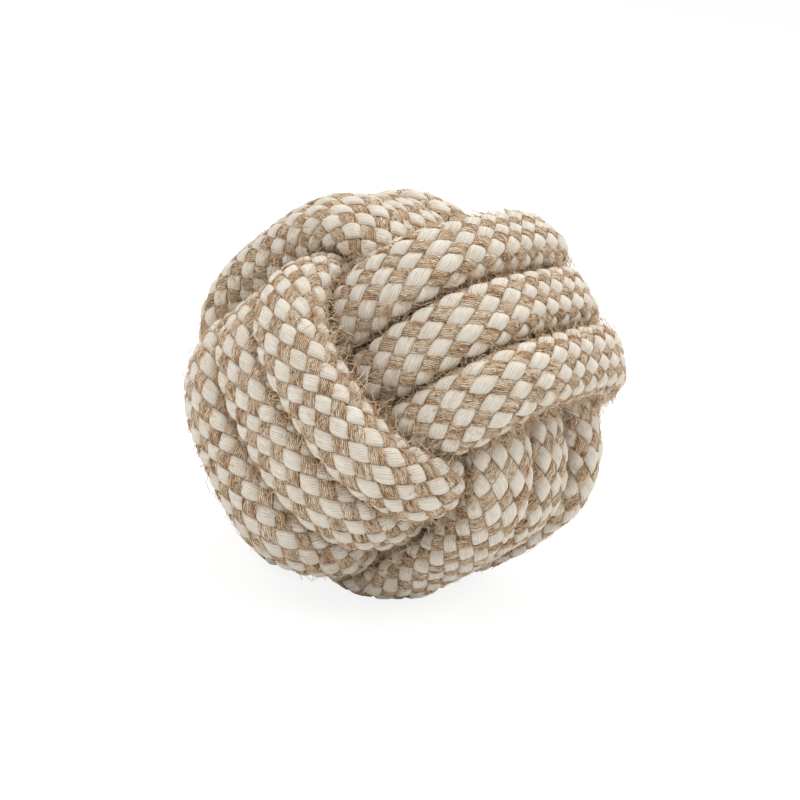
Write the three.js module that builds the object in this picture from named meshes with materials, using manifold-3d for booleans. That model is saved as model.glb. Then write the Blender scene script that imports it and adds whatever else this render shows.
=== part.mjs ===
// Rope dog toy: a ball knotted from one length of braided rope. Millimetres, +Z up.
// The knot is three windings of three turns each. Every winding wraps over the one before
// it and passes inside the one after it, round a small core ball in the middle.
// The rope is a braided cover over a filler cord. The model parts it where one winding
// passes into the next, inside the ball, so that each winding is a piece of its own.
// The toy stands on the flats worn on its lowest turns, with z = 0 on those flats.

import * as THREE from 'three';
import { mergeVertices } from 'three/addons/utils/BufferGeometryUtils.js';
import Module from 'manifold-3d';

const wasm = await Module();
wasm.setup();

// The rope
const ROPE_DIAMETER = 13.2;
const COVER_WALL = 2.4; // two crossing layers of flat strands
const FILLER_CLEARANCE = 0.36; // cover to filler, at a section's corners
const SECTION_SIDES = 6;
const CREST_SHARE = 1.05; // a section's outward corner, to the rope's radius
const BULGE_SHARE = 1.1; // its other corners, which swell into any hollow beside them

// The knot: the turns' spacing along each of its own axes, and how many turns a winding has
const LANE = { x: 13.1, y: 12.4, z: 11.8 };
const TURNS = 3;
const STEPS_PER_TURN = 24;
const TURN_EXPONENT = 3.4; // 2 is an ellipse, more is a squarer turn
const BEND_CROWD_SHARE = 0.45; // how far the steps are drawn together in a turn's corners
const FIRST_ANGLE = 120; // degrees round the first turn at which a winding takes its lane
const LAST_ANGLE = 50; // degrees past the last full turn at which it leaves its lane
const SHIFT_ANGLE = 56; // degrees over which a turn climbs from one lane to the next

// Clearances
const TURN_CLEARANCE = 0.7; // left between turns where they press flat on each other
const JOINT_CLEARANCE = 0.3; // between the windings' end faces, and the wraps and the rope

// The core ball
const CORE_DIAMETER = 26;
const CORE_CLEARANCE = 0.4;
const CORE_SEGMENTS = 24;

// The wraps that hold the rope's two cut ends
const END_SPACING = 2.6; // between the two cut faces
const WRAP_LENGTH = 6;
const WRAP_THICKNESS = 0.7;
const WRAP_SETBACK = 1.2; // from a cut face to its wrap
const WRAPPED_RADIUS = 3.7; // the rope's corner radius where a wrap squeezes it
const WRAP_SEGMENTS = 24;

// How the ball rests: tilted on the edge between two of its six faces, then turned
const REST_TILT = 45;
const REST_TURN = -122;
const FLAT_DEPTH_SHARE = 0.1; // depth of the flats where it stands, to the rope's diameter

// Search distances along the rope
const SAMPLE_SPACING = 2;
const OWN_LENGTH_SHARE = 1.5; // rope nearer than this along its length isn't a neighbour
const NEIGHBOUR_REACH_SHARE = 2; // both to the rope's diameter
const FACING_SHARE = 0.12; // cosine under which a neighbour doesn't limit a corner
const GAP_SAMPLES = 4; // points measured along each edge of a face

const COTTON = new THREE.MeshStandardMaterial({ color: 0xe0d7c4, roughness: 0.9, metalness: 0 });
const FILLER = new THREE.MeshStandardMaterial({ color: 0xd8cdb6, roughness: 0.95, metalness: 0 });
const CORE = new THREE.MeshStandardMaterial({ color: 0xcdbfa2, roughness: 0.9, metalness: 0 });
const TWINE = new THREE.MeshStandardMaterial({ color: 0xae8e68, roughness: 0.95, metalness: 0 });

const ropeRadius = ROPE_DIAMETER / 2;
const wrapReach = WRAP_SETBACK + WRAP_LENGTH;
const ownLength = OWN_LENGTH_SHARE * ROPE_DIAMETER;
const neighbourReach = NEIGHBOUR_REACH_SHARE * ROPE_DIAMETER;
const degrees = THREE.MathUtils.degToRad;
const restTurn = new THREE.Matrix4().makeRotationFromEuler(
  new THREE.Euler(degrees(REST_TILT), 0, degrees(REST_TURN), 'ZYX'),
);

// How the turns lie on one outer side of a winding, as shares: they spread apart, fan out as
// they climb the side, slide over by a share of a lane, and stand out. Hands tied the knot.
const EVEN = { spread: 0, fan: 0, slide: 0, stand: 0 };
const LEFT_SIDE = { spread: 0.05, fan: 0.15, slide: -0.04, stand: 0.07 };
const UPPER_SIDE = { spread: 0, fan: 0.15, slide: -0.23, stand: 0.03 };
const LOWER_SIDE = { spread: 0.1, fan: -0.09, slide: 0.09, stand: -0.05 };
const RIGHT_SIDE = { spread: 0.17, fan: -0.02, slide: 0.01, stand: 0.04 };

// Which of the knot's axes each winding goes out along, in along and across, and its two sides
const WINDINGS = [
  { name: 'first', out: 'x', in: 'z', across: 'y', near: LEFT_SIDE, far: EVEN },
  { name: 'second', out: 'z', in: 'y', across: 'x', near: UPPER_SIDE, far: LOWER_SIDE },
  { name: 'third', out: 'y', in: 'x', across: 'z', near: RIGHT_SIDE, far: EVEN },
];

// Half-sizes of a turn, in lanes: its inner sides clear the band that it wraps, and its
// outer sides clear the band that the next winding is wrapped by.
const halfBand = TURNS / 2;
const innerHalf = halfBand + 1 / 2;
const outerHalf = halfBand + 3 / 2;

// Where a winding crosses the hollow middle into the next, as shares of the lanes
// out, in and across: it leaves its last turn and runs straight to where the next begins.
const LEAVE_SHARES = new THREE.Vector3(1.7, 1.95, 1.0);
const ENTER_SHARES = new THREE.Vector3(-0.3, 1.26, 1.1);
const BEND_SHARES = [
  new THREE.Vector3(0.85, 1.13, -0.95),
  new THREE.Vector3(-0.15, 1.3, -1.05),
];

/** Turns a place in one winding's lanes into the same place in the next winding's lanes. */
function toNextWinding(place) {
  return new THREE.Vector3(place.y, place.z, place.x);
}

/** How a winding's turns lie at a share of the way from its near side to its far one. */
function lieAt(winding, share) {
  const keys = Object.keys(EVEN);
  const mixed = keys.map((key) => THREE.MathUtils.lerp(winding.near[key], winding.far[key], share));
  return Object.fromEntries(keys.map((key, index) => [key, mixed[index]]));
}

/** The place in lanes at an angle, in degrees, round a winding's turns. */
function turnPlace(winding, angle) {
  const cos = Math.cos(degrees(angle));
  const sin = Math.sin(degrees(angle));
  const reach = Math.pow(
    Math.pow(Math.abs(cos), TURN_EXPONENT) + Math.pow(Math.abs(sin), TURN_EXPONENT),
    -1 / TURN_EXPONENT,
  );
  const turn = Math.round((angle - 90) / 360);
  const past = angle - 90 - turn * 360;
  const climb = THREE.MathUtils.smoothstep(past, -SHIFT_ANGLE / 2, SHIFT_ANGLE / 2);
  const lane = turn + climb - 1 / 2 - halfBand;
  const lie = lieAt(winding, (1 + reach * cos) / 2);
  return new THREE.Vector3(
    outerHalf * reach * cos * (1 + lie.stand),
    innerHalf * reach * sin,
    lane * (1 + lie.spread + lie.fan * reach * sin) + lie.slide,
  );
}

/** A winding's places in its own lanes: in from the last winding, its turns, and on to the next. */
function windingPlaces(winding) {
  const joint = LEAVE_SHARES.clone().lerp(ENTER_SHARES, 1 / 2);
  const start = [joint, joint.clone().lerp(ENTER_SHARES, 1 / 2), ENTER_SHARES].map(toNextWinding);
  const from = degrees(FIRST_ANGLE);
  const to = degrees(LAST_ANGLE + 360 * TURNS);
  const steps = Math.round(((to - from) / (2 * Math.PI)) * STEPS_PER_TURN);
  const turns = [];
  for (let step = 0; step <= steps; step += 1) {
    const even = THREE.MathUtils.lerp(from, to, step / steps);
    const crowded = even + (BEND_CROWD_SHARE * Math.sin(4 * even)) / 4;
    turns.push(turnPlace(winding, THREE.MathUtils.radToDeg(crowded)));
  }
  const end = [LEAVE_SHARES, LEAVE_SHARES.clone().lerp(joint, 1 / 2), joint];
  return [...start, ...BEND_SHARES, ...turns, ...end];
}

/**
 * A winding's centre line in millimetres, in the resting frame, as a smooth curve. The signs
 * put the places where the windings cross into each other at the ball's back and underside.
 */
function windingCurve(winding) {
  const points = windingPlaces(winding).map((place) => {
    const point = new THREE.Vector3();
    point[winding.out] = -place.x * LANE[winding.out];
    point[winding.in] = -place.y * LANE[winding.in];
    point[winding.across] = -place.z * LANE[winding.across];
    return point.applyMatrix4(restTurn);
  });
  return new THREE.CatmullRomCurve3(points, false, 'centripetal');
}

/** Sets an end ring back by a trim, and moves the next one on its straight run where a wrap ends. */
function trimEnd(end, next, inward, cut) {
  end.centre.addScaledVector(inward, cut ? END_SPACING / 2 : JOINT_CLEARANCE / 2);
  if (cut) next.centre.copy(end.centre).addScaledVector(inward, wrapReach);
}

/** The rings along a winding: centre, tangent, outward normal and distance along the rope. */
function windingRings(curve, startCut, endCut, before) {
  const last = curve.points.length - 1;
  const rings = curve.points.map((point, index) => ({
    centre: point.clone(),
    tangent: curve.getTangent(index / last),
  }));
  trimEnd(rings[0], rings[1], rings[0].tangent, startCut);
  trimEnd(rings[last], rings[last - 1], rings[last].tangent.clone().negate(), endCut);
  let along = before;
  rings.forEach((ring, index) => {
    if (index > 0) along += ring.centre.distanceTo(rings[index - 1].centre);
    ring.along = along;
    const outward = ring.centre.clone();
    outward.addScaledVector(ring.tangent, -outward.dot(ring.tangent));
    ring.normal = outward.normalize();
    ring.side = new THREE.Vector3().crossVectors(ring.tangent, ring.normal);
  });
  return rings;
}

/** Points at an even spacing along a winding's rings, each with its distance along the rope. */
function ropeSamples(rings) {
  const samples = [];
  for (let index = 1; index < rings.length; index += 1) {
    const from = rings[index - 1];
    const to = rings[index];
    const count = Math.ceil((to.along - from.along) / SAMPLE_SPACING);
    for (let step = 0; step < count; step += 1) {
      samples.push({
        point: from.centre.clone().lerp(to.centre, step / count),
        along: THREE.MathUtils.lerp(from.along, to.along, step / count),
      });
    }
  }
  return samples;
}

/** How far the rope may reach in a direction from a centre before it meets a neighbour or the core. */
function cornerReach(centre, along, direction, samples, largest) {
  let reach = largest;
  const limit = (distance, facing, room) => {
    if (facing > FACING_SHARE * distance) reach = Math.min(reach, (room * distance) / facing);
  };
  const toNeighbour = new THREE.Vector3();
  for (const sample of samples) {
    if (Math.abs(sample.along - along) < ownLength) continue;
    toNeighbour.subVectors(sample.point, centre);
    const distance = toNeighbour.length();
    if (distance > neighbourReach) continue;
    limit(distance, toNeighbour.dot(direction), (distance - TURN_CLEARANCE) / 2);
  }
  const toCore = centre.length();
  limit(toCore, -centre.dot(direction), toCore - CORE_DIAMETER / 2 - CORE_CLEARANCE);
  return reach;
}

/** Gives each ring its section's corners, clear of all from half a step before it to half a step after. */
function fitSections(rings, samples, wrapped) {
  rings.forEach((ring, index) => {
    const beside = [rings[Math.max(index - 1, 0)], ring, rings[Math.min(index + 1, rings.length - 1)]];
    const centres = beside.map((other) => ring.centre.clone().lerp(other.centre, 1 / 2));
    ring.corners = [];
    for (let side = 0; side < SECTION_SIDES; side += 1) {
      const angle = (2 * Math.PI * side) / SECTION_SIDES;
      const direction = ring.normal.clone().multiplyScalar(Math.cos(angle));
      direction.addScaledVector(ring.side, Math.sin(angle));
      let radius = ropeRadius * (side === 0 ? CREST_SHARE : BULGE_SHARE);
      if (wrapped.includes(ring)) radius = WRAPPED_RADIUS;
      for (const centre of centres) {
        radius = cornerReach(centre, ring.along, direction, samples, radius);
      }
      ring.corners.push({ direction, radius });
    }
  });
}

/** The corner points of every ring, drawn in by a depth. */
function skinPoints(rings, depth) {
  return rings.map((ring) => ring.corners.map(
    (corner) => ring.centre.clone().addScaledVector(corner.direction, corner.radius - depth),
  ));
}

/** Collects triangles over points and makes one closed, flat-faced geometry of them. */
class FaceList {
  constructor() {
    this.positions = [];
  }

  quad(a, b, c, d) {
    this.triangle(a, b, c);
    this.triangle(a, c, d);
  }

  triangle(a, b, c) {
    for (const point of [a, b, c]) this.positions.push(point.x, point.y, point.z);
  }

  /** The wall between rings of points, facing out, or in where turned is true. */
  wall(rows, turned) {
    for (let row = 1; row < rows.length; row += 1) {
      for (let side = 0; side < SECTION_SIDES; side += 1) {
        const next = (side + 1) % SECTION_SIDES;
        const [low, high] = [rows[row - 1], rows[row]];
        if (turned) this.quad(low[side], high[side], high[next], low[next]);
        else this.quad(low[side], low[next], high[next], high[side]);
      }
    }
  }

  /** A face between two rings in one plane, or a full one where inner is a single point. */
  endFace(outer, inner, turned) {
    for (let side = 0; side < SECTION_SIDES; side += 1) {
      const next = (side + 1) % SECTION_SIDES;
      const corners = [outer[side], outer[next]];
      if (Array.isArray(inner)) corners.push(inner[next], inner[side]);
      else corners.push(inner);
      if (turned) corners.reverse();
      if (Array.isArray(inner)) this.quad(...corners);
      else this.triangle(...corners);
    }
  }

  geometry() {
    const geometry = new THREE.BufferGeometry();
    geometry.setAttribute('position', new THREE.Float32BufferAttribute(this.positions, 3));
    const merged = mergeVertices(geometry);
    merged.computeVertexNormals();
    return merged;
  }
}

/** A winding's braided cover: an open sleeve of the rope's outer form. */
function coverGeometry(rings) {
  const outer = skinPoints(rings, 0);
  const inner = skinPoints(rings, COVER_WALL);
  const faces = new FaceList();
  faces.wall(outer, false);
  faces.wall(inner, true);
  faces.endFace(outer[0], inner[0], true);
  faces.endFace(outer.at(-1), inner.at(-1), false);
  return faces.geometry();
}

/** A winding's filler: the solid cord inside its cover. */
function fillerGeometry(rings) {
  const skin = skinPoints(rings, COVER_WALL + FILLER_CLEARANCE);
  const faces = new FaceList();
  faces.wall(skin, false);
  faces.endFace(skin[0], rings[0].centre, true);
  faces.endFace(skin.at(-1), rings.at(-1).centre, false);
  return faces.geometry();
}

/** The least distance between points on stretches of the rope that aren't the same stretch. */
function leastGap(windings) {
  const points = [];
  for (const rings of windings) {
    const rows = skinPoints(rings, 0);
    for (let row = 1; row < rows.length; row += 1) {
      for (let side = 0; side < SECTION_SIDES; side += 1) {
        const next = (side + 1) % SECTION_SIDES;
        for (let u = 0; u < GAP_SAMPLES; u += 1) {
          for (let v = 0; v < GAP_SAMPLES; v += 1) {
            const low = rows[row - 1][side].clone().lerp(rows[row - 1][next], u / GAP_SAMPLES);
            const high = rows[row][side].clone().lerp(rows[row][next], u / GAP_SAMPLES);
            const along = THREE.MathUtils.lerp(rings[row - 1].along, rings[row].along, v / GAP_SAMPLES);
            points.push({ point: low.lerp(high, v / GAP_SAMPLES), along });
          }
        }
      }
    }
  }
  let least = Infinity;
  points.sort((a, b) => a.point.z - b.point.z);
  for (let i = 0; i < points.length; i += 1) {
    const a = points[i];
    for (let j = i + 1; j < points.length && points[j].point.z - a.point.z < least; j += 1) {
      const b = points[j];
      if (Math.abs(a.along - b.along) < ownLength) continue;
      least = Math.min(least, a.point.distanceTo(b.point));
    }
  }
  return least;
}

/** A geometry as a solid that can be cut. */
function toSolid(geometry) {
  const bare = geometry.clone();
  bare.deleteAttribute('normal');
  bare.deleteAttribute('uv');
  const merged = mergeVertices(bare);
  return new wasm.Manifold(new wasm.Mesh({
    numProp: 3,
    vertProperties: merged.attributes.position.array,
    triVerts: new Uint32Array(merged.index.array),
  }));
}

/** A cut solid as a geometry. */
function toGeometry(solid) {
  const mesh = solid.getMesh();
  const geometry = new THREE.BufferGeometry();
  geometry.setAttribute('position', new THREE.BufferAttribute(mesh.vertProperties, 3));
  geometry.setIndex(new THREE.BufferAttribute(mesh.triVerts, 1));
  geometry.computeVertexNormals();
  return geometry;
}

/** Cuts away what lies below a level, where the ball stands. */
function cutFlat(geometry, level, reach) {
  geometry.computeBoundingBox();
  if (geometry.boundingBox.min.z >= level) return geometry;
  const block = new THREE.BoxGeometry(2 * reach, 2 * reach, reach);
  block.translate(0, 0, level - reach / 2);
  return toGeometry(toSolid(geometry).subtract(toSolid(block)));
}

/** A wrap of twine round a cut end: a short ring with its outer edges taken off. */
function wrapGeometry() {
  const inner = WRAPPED_RADIUS + JOINT_CLEARANCE;
  const outer = inner + WRAP_THICKNESS;
  const bevel = WRAP_THICKNESS / 3;
  const profile = [
    new THREE.Vector2(inner, 0),
    new THREE.Vector2(outer - bevel, 0),
    new THREE.Vector2(outer, bevel),
    new THREE.Vector2(outer, WRAP_LENGTH - bevel),
    new THREE.Vector2(outer - bevel, WRAP_LENGTH),
    new THREE.Vector2(inner, WRAP_LENGTH),
    new THREE.Vector2(inner, 0),
  ];
  return new THREE.LatheGeometry(profile, WRAP_SEGMENTS);
}

/** A wrap set on a cut end, with inward the direction from the cut face along the rope. */
function placeWrap(name, end, inward) {
  const wrap = new THREE.Mesh(wrapGeometry(), TWINE);
  wrap.name = name;
  wrap.position.copy(end).addScaledVector(inward, WRAP_SETBACK);
  wrap.quaternion.setFromUnitVectors(new THREE.Vector3(0, 1, 0), inward);
  return wrap;
}

const curves = WINDINGS.map(windingCurve);
const windings = [];
let ropeLength = 0;
curves.forEach((curve, index) => {
  const rings = windingRings(curve, index === 0, index === curves.length - 1, ropeLength);
  ropeLength = rings.at(-1).along;
  windings.push(rings);
});

const samples = windings.flatMap(ropeSamples);
const wrapped = [...windings[0].slice(0, 2), ...windings.at(-1).slice(-2)];
windings.forEach((rings) => fitSections(rings, samples, wrapped));

const covers = windings.map(coverGeometry);
const bounds = new THREE.Box3();
for (const cover of covers) {
  cover.computeBoundingBox();
  bounds.union(cover.boundingBox);
}
const standLevel = bounds.min.z + FLAT_DEPTH_SHARE * ROPE_DIAMETER;
const size = bounds.getSize(new THREE.Vector3());
const middle = bounds.getCenter(new THREE.Vector3());

const toy = new THREE.Group();
toy.position.set(-middle.x, -middle.y, -standLevel);

const core = new THREE.Mesh(
  new THREE.SphereGeometry(CORE_DIAMETER / 2, CORE_SEGMENTS, CORE_SEGMENTS / 2),
  CORE,
);
core.name = 'core_ball';
toy.add(core);

windings.forEach((rings, index) => {
  const { name } = WINDINGS[index];
  const cover = new THREE.Mesh(cutFlat(covers[index], standLevel, size.x), COTTON);
  cover.name = `${name}_winding_cover`;
  const filler = new THREE.Mesh(fillerGeometry(rings), FILLER);
  filler.name = `${name}_winding_filler`;
  toy.add(cover, filler);
});

const ropeStart = windings[0][0];
const ropeEnd = windings.at(-1).at(-1);
toy.add(placeWrap('start_end_wrap', ropeStart.centre, ropeStart.tangent));
toy.add(placeWrap('finish_end_wrap', ropeEnd.centre, ropeEnd.tangent.clone().negate()));

console.log(`rope length ${ropeLength.toFixed(0)} mm`);
console.log(`least gap between turns ${leastGap(windings).toFixed(2)} mm`);

export default toy;
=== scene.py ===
"""Looks of the rope dog toy: a ball knotted from one length of braided rope.

The rope is a tubular braid of 20 strands, 10 of cotton yarn that lean one way round it and 10
of jute fibre that lean the other, over a cord of three plies. The knot is three windings of
three turns each round a small ball of yarn. Lengths are in metres.
"""

from __future__ import annotations

import logging
import math
from dataclasses import dataclass, field, fields
from enum import Enum
from functools import partialmethod

import bmesh
import bpy
import numpy as np
from mathutils import Euler, Matrix, Vector

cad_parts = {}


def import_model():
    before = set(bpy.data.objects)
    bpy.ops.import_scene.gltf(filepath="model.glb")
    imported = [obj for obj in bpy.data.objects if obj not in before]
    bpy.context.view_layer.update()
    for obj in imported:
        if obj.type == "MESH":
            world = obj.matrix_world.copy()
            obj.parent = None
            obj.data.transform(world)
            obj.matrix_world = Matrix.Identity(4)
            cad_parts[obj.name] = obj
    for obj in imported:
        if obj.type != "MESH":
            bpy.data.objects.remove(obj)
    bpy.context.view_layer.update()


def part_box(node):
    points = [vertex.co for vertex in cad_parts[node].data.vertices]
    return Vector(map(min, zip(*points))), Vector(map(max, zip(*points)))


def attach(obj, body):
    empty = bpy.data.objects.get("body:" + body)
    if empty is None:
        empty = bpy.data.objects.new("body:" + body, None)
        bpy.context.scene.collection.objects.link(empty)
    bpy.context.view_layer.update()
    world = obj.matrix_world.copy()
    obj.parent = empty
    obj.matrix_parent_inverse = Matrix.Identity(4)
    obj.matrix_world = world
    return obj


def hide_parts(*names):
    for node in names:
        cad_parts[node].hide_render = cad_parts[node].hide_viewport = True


LOG = logging.getLogger("rope_toy")
BODY = "root"
MM = 0.001
CLOTH_GLOSS = 0.2
MOST_SHADE = 0.85
Value = "float | int | str | tuple | bool | bpy.types.ID | bpy.types.NodeSocket | Term"


class Way(Enum):
    """Which way a family of strands leans round the rope, seen from outside."""

    LEFT = -1
    RIGHT = 1


class Term:
    """A node's output that is written in sums as a number is, by adding Math nodes."""

    def __init__(self, graph: Graph, socket: bpy.types.NodeSocket) -> None:
        """Wraps an output of the graph that the Math nodes are added to."""
        self.graph = graph
        self.socket = socket

    def math(self, operation: str, *others: Value) -> Term:
        """Puts this term, and the operation's other values, through a Math node."""
        return self.graph.math(operation, self, *others)

    def __rsub__(self, other: Value) -> Term:
        """Takes this away from other."""
        return self.graph.math("SUBTRACT", other, self)

    __add__ = __radd__ = partialmethod(math, "ADD")
    __mul__ = __rmul__ = partialmethod(math, "MULTIPLY")
    __sub__ = partialmethod(math, "SUBTRACT")
    __truediv__ = partialmethod(math, "DIVIDE")
    __pow__ = partialmethod(math, "POWER")
    __abs__ = partialmethod(math, "ABSOLUTE")
    cosine = partialmethod(math, "COSINE")
    sine = partialmethod(math, "SINE")
    fraction = partialmethod(math, "FRACT")
    whole = partialmethod(math, "FLOOR")
    below = partialmethod(math, "LESS_THAN")
    above = partialmethod(math, "GREATER_THAN")
    at_least = partialmethod(math, "MAXIMUM")
    at_most = partialmethod(math, "MINIMUM")


def chosen(sockets: bpy.types.bpy_prop_collection, name: str | int) -> bpy.types.NodeSocket:
    """Finds a socket by number, or by name among those in use."""
    named = (socket for socket in sockets if socket.name == name and socket.enabled)
    return sockets[name] if isinstance(name, int) else next(named)


class Graph:
    """A node tree that nodes are added to by type, sockets and settings."""

    def __init__(self, tree: bpy.types.NodeTree) -> None:
        """Takes a tree to add nodes to."""
        self.tree = tree

    def node(self, kind: str, sockets: dict | None = None, **settings: Value) -> bpy.types.Node:
        """Adds a node.

        Args:
            kind: The node's type.
            sockets: Values or links of its inputs, by name or by number.
            settings: Its properties, which are set first.

        Returns:
            The new node.
        """
        node = self.tree.nodes.new(kind)
        for name, value in settings.items():
            setattr(node, name, value)
        for name, value in (sockets or {}).items():
            self.plug(chosen(node.inputs, name), value)
        return node

    def plug(self, socket: bpy.types.NodeSocket, value: Value) -> None:
        """Links or sets an input.

        Args:
            socket: The input.
            value: An output to link or a plain value.
        """
        if isinstance(value, Term):
            value = value.socket
        if isinstance(value, bpy.types.NodeSocket):
            self.tree.links.new(value, socket)
        else:
            socket.default_value = value

    def term(
        self, kind: str, output: str | int, sockets: dict | None = None, **settings: Value
    ) -> Term:
        """Adds a node, as node does, and gives its output of this name or number."""
        return Term(self, chosen(self.node(kind, sockets, **settings).outputs, output))

    def math(self, operation: str, *values: Value) -> Term:
        """Adds a Math node with its values in order."""
        return self.term("ShaderNodeMath", 0, dict(enumerate(values)), operation=operation)

    def vector(self, x: Value = 0.0, y: Value = 0.0, z: Value = 0.0) -> Term:
        """Makes a vector of three numbers."""
        return self.term("ShaderNodeCombineXYZ", 0, {"X": x, "Y": y, "Z": z})

    def vector_math(self, operation: str, *values: Value, output: str = "Vector") -> Term:
        """Adds a Vector Math node. Its output is Value where the result is a number."""
        sockets = dict(enumerate(values))
        return self.term("ShaderNodeVectorMath", output, sockets, operation=operation)

    sum = partialmethod(vector_math, "ADD")
    cross = partialmethod(vector_math, "CROSS_PRODUCT")
    direction = partialmethod(vector_math, "NORMALIZE")
    length_of = partialmethod(vector_math, "LENGTH", output="Value")
    dot = partialmethod(vector_math, "DOT_PRODUCT", output="Value")

    def way_from(self, start: Value, end: Value) -> Term:
        """The vector from one place to another."""
        return self.vector_math("SUBTRACT", end, start)

    def scaled(self, vector: Value, factor: Value) -> Term:
        """A vector times a number."""
        sockets = {0: vector, "Scale": factor}
        return self.term("ShaderNodeVectorMath", "Vector", sockets, operation="SCALE")

    def noise(self, place: tuple, detail: float = 2.0, rough: float = 0.5) -> Term:
        """Noise from nought to one, read at three numbers, a unit being about one grain."""
        sockets = {"Vector": self.vector(*place), "Detail": detail, "Roughness": rough}
        return self.term("ShaderNodeTexNoise", 0, {**sockets, "Scale": 1.0})


class GeometryGraph(Graph):
    """A Geometry Nodes tree with named inputs for its sizes."""

    def __init__(self, name: str) -> None:
        """Makes a tree that takes a geometry and gives one.

        Args:
            name: The tree's name.
        """
        super().__init__(bpy.data.node_groups.new(name, "GeometryNodeTree"))
        self.identifiers: dict[str, str] = {}
        for way in ("INPUT", "OUTPUT"):
            self.tree.interface.new_socket("Geometry", in_out=way, socket_type="NodeSocketGeometry")
        self.entry = self.tree.nodes.new("NodeGroupInput")
        self.exit = self.tree.nodes.new("NodeGroupOutput")

    def size(self, name: str, kind: str = "Float") -> Term:
        """Adds a named input.

        Args:
            name: The input's name.
            kind: The socket's kind, such as Float, Int or Material.

        Returns:
            The input.
        """
        socket_type = f"NodeSocket{kind}"
        socket = self.tree.interface.new_socket(name, in_out="INPUT", socket_type=socket_type)
        self.identifiers[name] = socket.identifier
        return Term(self, next(s for s in self.entry.outputs if s.identifier == socket.identifier))

    def named_sizes(self, **kinds: str) -> dict[str, Term]:
        """Adds inputs whose names are listed, with commas, for each socket's kind."""
        pairs = [(name, kind) for kind, names in kinds.items() for name in names.split(", ")]
        return {name: self.size(name, kind) for name, kind in pairs}

    def geometry(self) -> bpy.types.NodeSocket:
        """The geometry that comes in."""
        return self.entry.outputs["Geometry"]

    def attribute(self, name: str, kind: str = "FLOAT") -> Term:
        """Reads a named attribute."""
        node = "GeometryNodeInputNamedAttribute"
        return self.term(node, "Attribute", {"Name": name}, data_type=kind)

    attribute_vector = partialmethod(attribute, kind="FLOAT_VECTOR")

    def position(self) -> Term:
        """Each point's place."""
        return self.term("GeometryNodeInputPosition", 0)

    def index(self) -> Term:
        """Each point's number."""
        return self.term("GeometryNodeInputIndex", 0)

    def store(
        self, geometry: Value, name: str, value: Value, domain: str = "POINT", kind: str = "FLOAT"
    ) -> Term:
        """Keeps a number or a vector on a geometry as a named attribute."""
        kept = {"Geometry": geometry, "Name": name, "Value": value}
        return self.term("GeometryNodeStoreNamedAttribute", 0, kept, data_type=kind, domain=domain)

    def chance(self, low: Value, high: Value, seed: int) -> Term:
        """A random number or vector for each point, between two.

        Args:
            low: The least.
            high: The most.
            seed: The fixed seed.

        Returns:
            The random value.
        """
        kind = "FLOAT_VECTOR" if isinstance(low, tuple) else "FLOAT"
        sockets = {"Min": low, "Max": high, "Seed": seed}
        return self.term("FunctionNodeRandomValue", "Value", sockets, data_type=kind)

    def straight(self, end: Value, steps: Value) -> Term:
        """A straight line from the origin, in even steps."""
        line = self.term("GeometryNodeCurvePrimitiveLine", 0, {"Start": (0, 0, 0), "End": end})
        return self.term("GeometryNodeResampleCurve", 0, {"Curve": line, "Count": steps + 1})

    def ring(self, points: Value, radius: Value) -> Term:
        """A round section for a sweep."""
        sockets = {"Resolution": points, "Radius": radius}
        return self.term("GeometryNodeCurvePrimitiveCircle", 0, sockets, mode="RADIUS")

    def swept(self, line: Value, ring: Value) -> Term:
        """A section swept along a line, closed at both ends."""
        sockets = {"Curve": line, "Profile Curve": ring, "Fill Caps": True}
        return self.term("GeometryNodeCurveToMesh", "Mesh", sockets)

    def moved(self, geometry: Value, place: Value) -> Term:
        """The geometry with its points at other places."""
        sockets = {"Geometry": geometry, "Position": place}
        return self.term("GeometryNodeSetPosition", 0, sockets)

    def real(self, geometry: Value) -> Term:
        """The geometry with its instances made real."""
        return self.term("GeometryNodeRealizeInstances", 0, {"Geometry": geometry})

    def finish(self, geometry: Value, material: Value) -> None:
        """Ends the tree: instances made real, shaded smooth, in one material.

        Args:
            geometry: What the tree gives.
            material: Its material.
        """
        sockets = {"Geometry": self.real(geometry), "Shade Smooth": True}
        smooth = self.term("GeometryNodeSetShadeSmooth", 0, sockets)
        sockets = {"Geometry": smooth, "Material": material}
        self.plug(self.exit.inputs[0], self.term("GeometryNodeSetMaterial", 0, sockets))

    def run(self, name: str, base: bpy.types.Mesh, sizes: dict[str, Value]) -> bpy.types.Object:
        """Runs the tree on a mesh and keeps the result as a plain mesh.

        Args:
            name: The new object's name.
            base: The mesh that goes into the tree.
            sizes: The tree's inputs by name.

        Returns:
            The object with the result, with no modifier.
        """
        holder = shown(name, base)
        modifier = holder.modifiers.new("Shape", "NODES")
        modifier.node_group = self.tree
        for label, value in sizes.items():
            modifier[self.identifiers[label]] = value
        depsgraph = bpy.context.evaluated_depsgraph_get()
        mesh = bpy.data.meshes.new_from_object(
            holder.evaluated_get(depsgraph), preserve_all_data_layers=True, depsgraph=depsgraph
        )
        holder.modifiers.clear()
        holder.data = mesh
        mesh.name = name
        return holder


def shown(name: str, data: bpy.types.ID) -> bpy.types.Object:
    """Makes an object and links it into the scene.

    Args:
        name: The object's name.
        data: Its mesh, lamp or camera.

    Returns:
        The object.
    """
    new = bpy.data.objects.new(name, data)
    bpy.context.scene.collection.objects.link(new)
    return new


def eased(share: float | np.ndarray) -> float | np.ndarray:
    """A share from nought to one that sets off and arrives gently."""
    return share * share * (3 - 2 * share)


def by_label(sizes: object, without: tuple[str, ...]) -> dict[str, Value]:
    """A dataclass's values under their inputs' names, without those that have no input."""
    kept = [item.name for item in fields(sizes) if item.name not in without]
    return {name.replace("_", " ").title(): getattr(sizes, name) for name in kept}


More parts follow.
